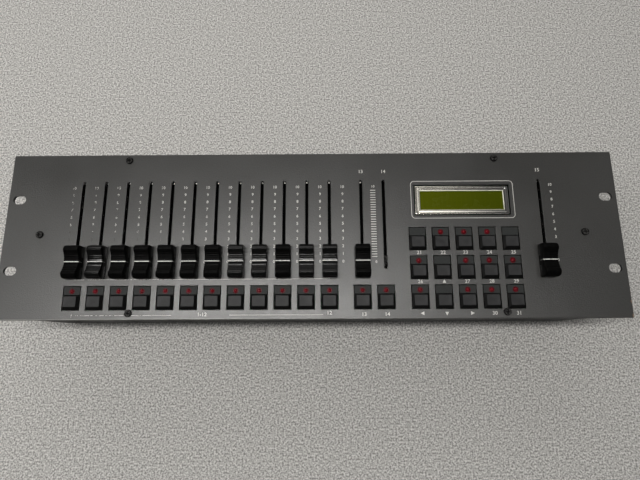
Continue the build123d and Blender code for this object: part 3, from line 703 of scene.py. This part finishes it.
# The front panel is a 2 mm steel plate in dark grey textured enamel, chipped to primer at the
# front right corner. Painted shade darkens the rims and walls of its cut-outs; a painted
# highlight runs along its front edge and, with patches of rubbed paint, round the keypad's
# cut-outs.
half_w = panel_high.x
half_d = panel_high.y
chip_w, chip_d, chip_reach = 25 * MM, 28 * MM, 2.6 * MM
keypad_x = 66 * MM


def panel_paint():
    """Dark grey orange-peel paint; near the right rim, noise that beats the distance bares steel.

    The rims of the cut-outs are darkened by painted shade and their walls are painted black as
    shade; at the keypad the rims are pale, rubbed paint in patches that also stands in for a
    painted highlight. A painted highlight fades out along the front edge from left to right.
    """
    finish, tree = plain_finish("panel_paint", (0.028, 0.027, 0.025), 0.40, shine=1.0)
    paint = tinted(tree, mottle(tree, 1.0 * MM, 3.0, 0.25, 0.75),
                   (0.008, 0.0077, 0.0070), (0.027, 0.026, 0.024))
    cloud = times(tree, mottle(tree, 60 * MM, 3.0, 0.3, 0.7), 0.2)
    paint = tinted(tree, cloud, paint, (0.034, 0.033, 0.031))
    to_side = less(tree, half_w, worked(tree, "ABSOLUTE", axis_of(tree, "X")))
    to_rim = less(tree, half_d, worked(tree, "ABSOLUTE", axis_of(tree, "Y")))
    distance = worked(tree, "MINIMUM", to_side, to_rim)
    handled = times(tree, ramp(tree, "X", half_w - chip_w, half_w - 8 * MM),
                    ramp(tree, "Y", -half_d, chip_d - half_d, 1.0, 0.0))
    bite = mottle(tree, 3.5 * MM, 4.0, 0.40, 0.68, 0.0, chip_reach)
    bite = less(tree, times(tree, bite, handled), to_side)
    chipped = spread(tree, bite, 0.0, 0.15 * MM)
    bare = tinted(tree, spread(tree, bite, 0.7 * MM, 0.9 * MM),
                  (0.15, 0.075, 0.035), (0.30, 0.24, 0.18))
    at_keypad = ramp(tree, "X", keypad_x, keypad_x + 2 * MM)
    # Painted shade: the cut-outs' rims away from the keypad are darkened.
    painted_rim_shade = times(tree, rubbed_edges(tree, 0.9 * MM, 0.01, 0.06), less(tree, 1.0, at_keypad))
    painted_rim_shade = times(tree, painted_rim_shade, spread(tree, distance, 1.0 * MM, 2.0 * MM))
    patches = mottle(tree, 2.5 * MM, 4.0, 0.35, 0.6, 0.1, 0.8)
    # At the keypad the rims are pale: patchy rubbed paint that is also a painted highlight.
    edges = times(tree, rubbed_edges(tree, 0.3 * MM), times(tree, patches, at_keypad))
    paint = tinted(tree, edges, paint, (0.16, 0.156, 0.148))
    paint = tinted(tree, painted_rim_shade, paint, 0.003)
    # A painted highlight along the front edge, fading out to the right.
    painted_front_highlight = times(tree, ramp(tree, "Y", 0.6 * MM - half_d, MM - half_d, 0.9, 0.0),
                 ramp(tree, "X", -100 * MM, 150 * MM, 1.0, 0.0))
    paint = tinted(tree, painted_front_highlight, paint, (0.17, 0.166, 0.155))
    paint = tinted(tree, chipped, paint, bare)
    # Painted shade: the cut-outs' upright walls are painted black.
    upright = tree.nodes.new("ShaderNodeNewGeometry").outputs["True Normal"]
    wall = spread(tree, axis_of(tree, "Z", upright), 0.2, 0.5, 1.0, 0.0)
    wall = times(tree, wall, spread(tree, distance, 0.2 * MM, 0.6 * MM))
    worn = mottle(tree, 35 * MM, 4.0, 0.3, 0.7, 0.295, 0.345)
    tooth = mottle(tree, 1.1 * MM, 2.0, 0.35, 0.65, 0.0, 0.07)
    lay_on(tree, tinted(tree, wall, paint, 0.002), worked(tree, "ADD", worn, tooth))
    relief(tree, less(tree, grain(tree, 0.85 * MM, 1.0), chipped), 0.13 * MM, edge=0.3 * MM)
    return finish


dress("front_panel", panel_paint())


# The panel is screen-printed in thin white ink: a scale from 10 to 0 beside each slider, a
# ladder beside the bare one, plain numbers and arrows at the keys, and a line round the
# display. The ink is worn thin, most of all on the left.
ink_t = 0.03 * MM
column_pitch, digit_h, number_h = 17.85, 2.3, 2.8  # millimetres
joined_h = 0.73  # the height at size 1 that a hyphened number is scaled by


def printed_ink():
    """Off-white ink, broken where fine noise, stronger to the left and front, bares the paint."""
    finish, tree = plain_finish("printed_ink", (0.6, 0.6, 0.58), 0.5)
    left = ramp(tree, "X", -200 * MM, -40 * MM, 0.56, 0.30)
    fine = grain(tree, 0.9 * MM, 3.0)
    rubbed = times(tree, ramp(tree, "X", -190 * MM, -75 * MM, 1.0, 0.0),
                   ramp(tree, "Y", -7 * MM, 4 * MM, 0.75, 0.0))
    rubbed = times(tree, rubbed, ramp(tree, "Y", -30 * MM, -28 * MM))
    thin = worked(tree, "ADD", left, rubbed)
    broken = spread(tree, less(tree, thin, fine), -0.06, 0.10)
    lay_on(tree, tinted(tree, broken, (0.62, 0.61, 0.58), (0.035, 0.034, 0.031)))
    relief(tree, fine, 0.02 * MM)
    return finish


def cut_word(word):
    """The points, about their middle, and the faces of a word set at size 1 and one unit thick."""
    text = bpy.data.curves.new("ink", "FONT")
    text.body, text.size, text.extrude = word, 1.0, 0.5
    text.align_x, text.align_y = "CENTER", "CENTER"
    text.resolution_u = 3
    text.space_character = 1.05
    text.offset = 0.015
    mesh = bpy.data.meshes.new_from_object(bpy.data.objects.new("ink", text))
    corners = np.empty(3 * len(mesh.vertices))
    mesh.vertices.foreach_get("co", corners)
    corners = corners.reshape(-1, 3)
    middle = (corners.min(0) + corners.max(0)) / 2
    return corners - middle, [list(face.vertices) for face in mesh.polygons]


def ink_words(words):
    """A block of ink for each (string, middle x, middle y, letter height) in millimetres."""
    cut = {word: cut_word(word) for word in sorted({word for word, *_ in words})}
    blocks = []
    for word, x, y, height in words:
        corners, faces = cut[word]
        set_height = joined_h if "-" in word else np.ptp(corners[:, 1])
        wide = height * MM / set_height
        blocks.append((corners * [wide, wide, ink_t]
                       + [x * MM, y * MM, panel_top + 0.4 * ink_t], faces))
    return blocks


def ink_outlines(outlines):
    """A block of ink for each outline of (x, y) corners in millimetres: a thin flat plate."""
    blocks = []
    for outline in outlines:
        corners = np.array(outline) * MM
        count = len(corners)
        plate = np.concatenate([np.column_stack([corners, np.full(count, panel_top + z)])
                                for z in (-0.1 * ink_t, 0.9 * ink_t)])
        low = np.arange(count)
        after = np.roll(low, -1)
        walls = np.column_stack([low, after, after + count, low + count]).tolist()
        blocks.append((plate, [(low + count).tolist(), low[::-1].tolist()] + walls))
    return blocks


def printed(name, blocks, finish):
    """One printed piece on the panel from blocks of points and faces."""
    starts = np.cumsum([0] + [len(corners) for corners, _ in blocks])
    faces = [[int(start) + corner for corner in face]
             for start, (_, block) in zip(starts, blocks) for face in block]
    mesh = bpy.data.meshes.new(name)
    mesh.from_pydata(np.concatenate([corners for corners, _ in blocks]).tolist(), [], faces)
    return closed_up(mesh, 0.0005 * MM, finish, "desk")


def scale_column(x, top, step):
    """A column of numbers from 10 down to 0, each a step lower."""
    return [(str(n), x, top - step * (10 - n), digit_h) for n in range(10, -1, -1)]


def scale_words():
    """Thirteen scales at one pitch, and one at the master slider."""
    words = [word for column in range(13)
             for word in scale_column(-189.4 + column_pitch * column, 38.05, 6.03)]
    return words + scale_column(189.85, 38.8, 6.08)


def key_words():
    """Plain numbers at the keys and extra sliders, in reading order."""
    words = [("1", -181.0, -62.8, 2.9), ("12", 14.0, -61.5, number_h),
             ("1-12", -82.0, -62.3, number_h), ("13", 40.1, -62.6, number_h),
             ("14", 57.6, -62.6, number_h), ("13", 39.8, 50.7, number_h),
             ("14", 57.9, 50.7, number_h), ("15", 181.0, 51.2, number_h),
             ("10", 49.3, 38.1, 2.0), ("0", 50.2, -22.7, 2.0)]
    rows = [(-15.7, (83.2, 101.8, 119.0, 137.5, 156.0), ("21", "22", "23", "24", "25")),
            (-38.2, (83.2, 119.0, 137.5, 156.0), ("26", "27", "28", "29")),
            (-62.2, (137.9, 155.7), ("30", "31"))]
    return words + [(name, x, y, number_h) for y, places, names in rows
                    for name, x in zip(names, places)]


def bar(x_from, x_to, y_from, y_to):
    """The four corners of a printed bar."""
    return [(x_from, y_from), (x_to, y_from), (x_to, y_to), (x_from, y_to)]


def arrow(x, y, turn, size=1.75):
    """A solid triangle about its middle, one corner along turn and two behind it."""
    angle = turn + np.array([0.0, 2.2, -2.2])
    return np.column_stack([x + size * np.cos(angle), y + size * np.sin(angle)])


def line_marks():
    """The thin lines under the sliders and keys, the ladder's ticks and the four arrows."""
    lines = [bar(-182, 14.4, -35.87, -35.6), bar(-178, -105.5, -63.05, -62.75),
             bar(-61.6, 9.0, -63.05, -62.75)]
    ticks = [bar(46.9, 51.0, y - 0.31, y + 0.31) for y in 34.85 - 1.983 * np.arange(28)]
    return lines + ticks + [arrow(101.4, -38.3, np.pi / 2), arrow(83.9, -62.2, np.pi),
                            arrow(102.0, -62.2, -np.pi / 2), arrow(120.9, -62.2, 0.0)]


def display_line():
    """A printed line of even width round the display: outer and inner rounded rings."""
    low_x, high_x, low_y, high_y = 78.9 * MM, 160.3 * MM, 11.4 * MM, 42.3 * MM
    middle = ((low_x + high_x) / 2, (low_y + high_y) / 2)
    return rounded_rings([(*middle, (high_x - low_x) / 2 - inset * MM,
                           (high_y - low_y) / 2 - inset * MM, (3.0 - inset) * MM,
                           panel_top + z * ink_t)
                          for inset, z in ((0.0, -0.1), (0.0, 0.9), (0.45, 0.9), (0.45, -0.1))], 7)


ink = printed_ink()
printed("slider_scales", ink_words(scale_words()), ink)
printed("key_numbers", ink_words(key_words()) + ink_outlines(line_marks()), ink)
piece("display_line", display_line(), ink, "desk", rows_close=True)


# Six pan-head screws with cross recesses hold the panel to the tray's tabs. They are black
# zinc, grey on the crown of the head: rubbed metal that is also a painted highlight.
def screw_black():
    """Black zinc, grey where noise meets the crown and the recess's edges: rubbed steel that also
    stands in for a painted highlight.
    """
    finish, tree = plain_finish("screw_black", (0.01, 0.01, 0.01), 0.5, shine=0.06)
    # The grey crown and recess edges are partly a painted highlight.
    crown = times(tree, ramp(tree, "Z", panel_top + 1.1 * MM, panel_top + 1.5 * MM), 0.5)
    rubbed = times(tree, worked(tree, "MAXIMUM", crown, rubbed_edges(tree, 0.12 * MM)),
                   mottle(tree, 0.8 * MM, 3.0, 0.42, 0.58))
    lay_on(tree, tinted(tree, rubbed, 0.003, (0.11, 0.108, 0.104)))
    relief(tree, grain(tree, 0.3 * MM, 2.0), 0.01 * MM, edge=0.1 * MM)
    return finish


dress("panel_screws", screw_black())


# Each slider is a flat steel lever on a carriage that runs in the case. All but one carry a
# black plastic cap, saddle-shaped for a finger, with fine cross ribs and a white line across
# the middle that runs down both sides. Five of the caps are polished by use.
shiny_caps = {"slider_02", "slider_08", "slider_09", "slider_11", "slider_12"}
cap_low, cap_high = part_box("slider_01")
cap_middle_y = (cap_low.y + cap_high.y) / 2
cap_l, cap_w, cap_h = 25.8 * MM, 12.0 * MM, 10.6 * MM
cap_base, valley_h = 0.7 * MM, 6.8 * MM
peak_y = cap_l / 2 - 4.4 * MM
corner_r, edge_r, crown_h, draft = 1.4 * MM, 0.55 * MM, 0.10 * MM, np.radians(2.6)
rib_pitch, rib_h, ribs_from = 1.55 * MM, 0.20 * MM, 1.9 * MM
line_half, line_step = 0.36 * MM, 0.12 * MM


def cap_height(y):
    """A cap's side view: a circular saddle between two peaks, each falling in an arc."""
    dip = cap_h - valley_h
    saddle_r = (peak_y ** 2 + dip ** 2) / (2 * dip)
    off = np.abs(y)
    saddle = valley_h + saddle_r - np.sqrt(saddle_r ** 2 - np.minimum(off, peak_y) ** 2)
    # the end's arc passes through the peak, the bulge and the end's upper edge
    a = np.array([peak_y, cap_h])
    b = np.array([cap_l / 2 - 1.3 * MM, 9.0 * MM])
    c = np.array([cap_l / 2, 5.6 * MM])
    lines = np.array([b - a, c - a])
    middle = np.linalg.solve(lines, (lines * (np.array([b, c]) + a) / 2).sum(1))
    radius = np.linalg.norm(a - middle)
    end = middle[1] + np.sqrt(np.maximum(radius ** 2 - (off - middle[0]) ** 2, 0.0))
    side = np.where(off <= peak_y, saddle, end)
    # the crest is rounded off by a parabola over its last millimetre
    crest = np.clip(1 - np.abs(off - peak_y) / (1.0 * MM), 0, 1)
    return side - 0.30 * MM * crest ** 2


def cap_ribs(y):
    """Four rounded ribs on both flanks of the saddle, and a low step under the white line."""
    off = np.abs(y)
    phase = (off - ribs_from) / rib_pitch
    ribs = rib_h * (0.5 - 0.5 * np.cos(2 * np.pi * phase)) ** 1.5
    ribs *= (phase > 0) & (phase < 4)
    return ribs + line_step * (off < line_half)


def cap_sheet(x):
    """Cross-sections along the cap at even steps of its side view's arc.

    Each runs from the middle of the underside, up a wall that leans in by the draft, over a
    rounded edge and across a slightly crowned top. The plan's corners narrow the end
    sections, and each end closes on its middle line.
    """
    fine = np.linspace(-cap_l / 2, cap_l / 2, 4001)
    side = cap_height(fine)
    arc = np.concatenate([[0], np.cumsum(np.hypot(np.diff(fine), np.diff(side)))])
    y = np.interp(np.linspace(0, arc[-1], 171), arc, fine)
    hair = 1e-6
    y = np.sort(np.concatenate([y, [-line_half - hair, -line_half + hair,
                                    line_half - hair, line_half + hair]]))
    top = cap_height(y) + cap_ribs(y)
    into = np.clip(np.abs(y) - (cap_l / 2 - corner_r), 0, corner_r)
    wide = cap_w / 2 - corner_r + np.sqrt(corner_r ** 2 - into ** 2)
    rise = cap_base + (top[:, None] - edge_r - cap_base) * np.array([0.0, 0.02, 0.5, 1.0])
    wall = (wide[:, None] - np.tan(draft) * (rise - cap_base)
            - np.array([0.15 * MM, 0, 0, 0]))
    round_ = np.linspace(0, np.pi / 2, 6)[1:]
    over_x = wall[:, -1:] - edge_r + edge_r * np.cos(round_)
    over_z = top[:, None] - edge_r + edge_r * np.sin(round_) - crown_h
    across = np.array([0.75, 0.5, 0.25])
    right_x = np.concatenate([wall, over_x, over_x[:, -1:] * across], 1)
    right_z = np.concatenate([rise, over_z, over_z[:, -1:] + crown_h * (1 - across ** 2)], 1)
    middle_z = over_z[:, -1:] + crown_h
    zero = np.zeros_like(middle_z)
    loop_x = np.concatenate([zero, right_x, zero, -right_x[:, ::-1]], 1)
    loop_z = np.concatenate([zero + cap_base, right_z, middle_z, right_z[:, ::-1]], 1)
    loop_y = np.repeat(y[:, None], loop_x.shape[1], 1)
    points = np.stack([x + loop_x, cap_middle_y + loop_y, panel_top + loop_z], -1)
    ends = [points[row] * [0, 1, 1] + [x, 0, 0] for row in (0, -1)]
    return np.concatenate([ends[0][None], points, ends[1][None]])[None]


def cap_plastic(name, gloss, shine, tooth):
    """Black moulding with a white line at the middle, dirty in patches, and painted darker as
    shade down the sides.
    """
    finish, tree = plain_finish(name, (0.005, 0.005, 0.005), gloss, shine=shine)
    off = apart(tree, axis_of(tree, "Y"), cap_middle_y)
    line = times(tree, spread(tree, off, 0.29 * MM, 0.34 * MM, 1.0, 0.0),
                 ramp(tree, "Z", panel_top + 2.0 * MM, panel_top + 2.6 * MM))
    # Painted shade: the white line is much darker down the cap's sides.
    line_lit_top_shaded_sides = ramp(tree, "Z", panel_top + 6.3 * MM, panel_top + 6.7 * MM, 0.16, 1.0)
    dirt = mottle(tree, 1.0 * MM, 3.0, 0.30, 0.55, 0.55, 1.0)
    white = times(tree, times(tree, line, line_lit_top_shaded_sides), dirt)
    black = tinted(tree, mottle(tree, 2.0 * MM, 4.0, 0.35, 0.7), 0.0012, (0.0030, 0.0030, 0.0028))
    lay_on(tree, tinted(tree, white, black, (0.80, 0.80, 0.77)),
           mottle(tree, 3.0 * MM, 4.0, 0.3, 0.75, gloss - 0.06, gloss + 0.14))
    relief(tree, grain(tree, 0.35 * MM, 2.0), tooth * MM)
    return finish


def lever_sheet(x, foot, top):
    """The carriage in the case and the flat lever that stands on it, as rings of their plans."""
    shelf = foot + 4.7 * MM
    rings = [(0, 0, 0, foot), (3.1, 5.4, 0.3, foot), (3.2, 5.5, 0.4, foot + 0.1 * MM),
             (3.2, 5.5, 0.4, shelf - 0.1 * MM), (3.1, 5.4, 0.3, shelf), (0.8, 4.0, 0.2, shelf),
             (0.8, 4.0, 0.2, top - 0.2 * MM), (0.65, 3.8, 0.2, top), (0, 0, 0, top)]
    return rounded_rings([(x, cap_middle_y, half_x * MM, half_y * MM, radius * MM, z)
                          for half_x, half_y, radius, z in rings])


def lever_steel():
    """Dark oxidised spring steel, scratched bright in spots."""
    finish, tree = plain_finish("lever_steel", (0.003, 0.003, 0.003), 0.5, shine=0.02)
    bright = mottle(tree, 0.5 * MM, 2.0, 0.60, 0.68)
    lay_on(tree, tinted(tree, bright, 0.0025, (0.45, 0.45, 0.43)), metallic=bright)
    relief(tree, bright, 0.02 * MM, edge=0.08 * MM)
    return finish


matt_cap = cap_plastic("cap_plastic", 0.34, 0.05, 0.010)
shiny_cap = cap_plastic("cap_plastic_polished", 0.15, 0.24, 0.002)
steel = lever_steel()
for node in slider_nodes:
    low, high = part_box(node)
    x = (low.x + high.x) / 2
    lever = piece(node + "_lever", lever_sheet(x, low.z, panel_top + 4.9 * MM), steel, node)
    cap = piece(node + "_cap", cap_sheet(x), shiny_cap if node in shiny_caps else matt_cap, node,
                sharp=0.9)
    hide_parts(node)
dress("slider_14", steel)


# The keys' moving caps are moulded in charcoal plastic: a skirt that fills the body's front,
# sloping sides and a raised pad, dished a little for the fingertip and polished by use.
pad_nodes = row_keys + [f"keypad_{row}_{column}" for row in (1, 2, 3) for column in range(1, 6)]


def pad_sheet(node):
    """Rings of a pad's plan: stem, skirt, slopes, rounded rim, then inwards down the dish.

    A ring is how far back its middle lies, half its width and depth, its radius and height.
    """
    low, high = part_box(node)
    x, y = key_middle(node)
    half_x, half_y = (high.x - low.x) / 2, (high.y - low.y) / 2
    stem, back = 2.0 * MM, 0.65 * MM
    skirt = high.z - 2.4 * MM
    base = skirt - 3.0 * MM
    top_x, top_y = 4.75 * MM, half_y - 1.55 * MM
    rings = [(0, 0, 0, 0, low.z), (0, stem, stem, 0.3 * MM, low.z),
             (0, stem, stem, 0.3 * MM, base),
             (0, half_x - 0.1 * MM, half_y - 0.1 * MM, 0.3 * MM, base),
             (0, half_x, half_y, 0.35 * MM, base + 0.1 * MM),
             (0, half_x, half_y, 0.35 * MM, skirt - 0.12 * MM),
             (0.03 * MM, half_x - 0.12 * MM, half_y - 0.12 * MM, 0.4 * MM, skirt)]
    rings += [(back * share, half_x + (top_x - half_x) * share,
               half_y + (top_y - half_y) * share, 0.6 * MM, high.z - drop * MM)
              for share, drop in ((0.86, 0.36), (0.95, 0.14), (1.0, 0.03))]
    rings += [(back, top_x - inset * MM, top_y - inset * MM, 0.6 * MM, high.z - dip * MM)
              for inset, dip in ((0.25, 0.0), (0.7, 0.03), (1.5, 0.10), (2.6, 0.17))]
    rings.append((back, 0, 0, 0, high.z - 0.19 * MM))
    return rounded_rings([(x, y + off, a, b, r, z) for off, a, b, r, z in rings])


def pad_plastic():
    """Charcoal moulding, finely toothed, its tops smeared and polished by fingers; the slopes are
    painted near black as shade, less so where they face the rear.
    """
    finish, tree = plain_finish("pad_plastic", (0.03, 0.03, 0.031), 0.55, shine=0.18)
    top = ramp(tree, "Z", panel_top + 2.35 * MM, panel_top + 2.55 * MM)
    speck = mottle(tree, 0.5 * MM, 2.0, 0.3, 0.7)
    smear = mottle(tree, 7 * MM, 4.0, 0.3, 0.7)
    # Painted shade: the slopes are near black, lighter where they face the rear.
    painted_slope_shade = tinted(tree, speck, 0.0025, 0.004)
    face = tinted(tree, smear, (0.024, 0.024, 0.025), (0.036, 0.036, 0.037))
    upright = tree.nodes.new("ShaderNodeNewGeometry").outputs["True Normal"]
    rear = spread(tree, axis_of(tree, "Y", upright), 0.3, 0.6, 0.0, 0.35)
    lay_on(tree, tinted(tree, worked(tree, "MAXIMUM", top, rear), painted_slope_shade, face),
           spread(tree, smear, 0.0, 1.0, 0.38, 0.52))
    relief(tree, speck, 0.010 * MM)
    return finish


pad_finish = pad_plastic()
for node in pad_nodes:
    pad = piece(node + "_pad", pad_sheet(node), pad_finish, node)
    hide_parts(node)


low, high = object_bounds()
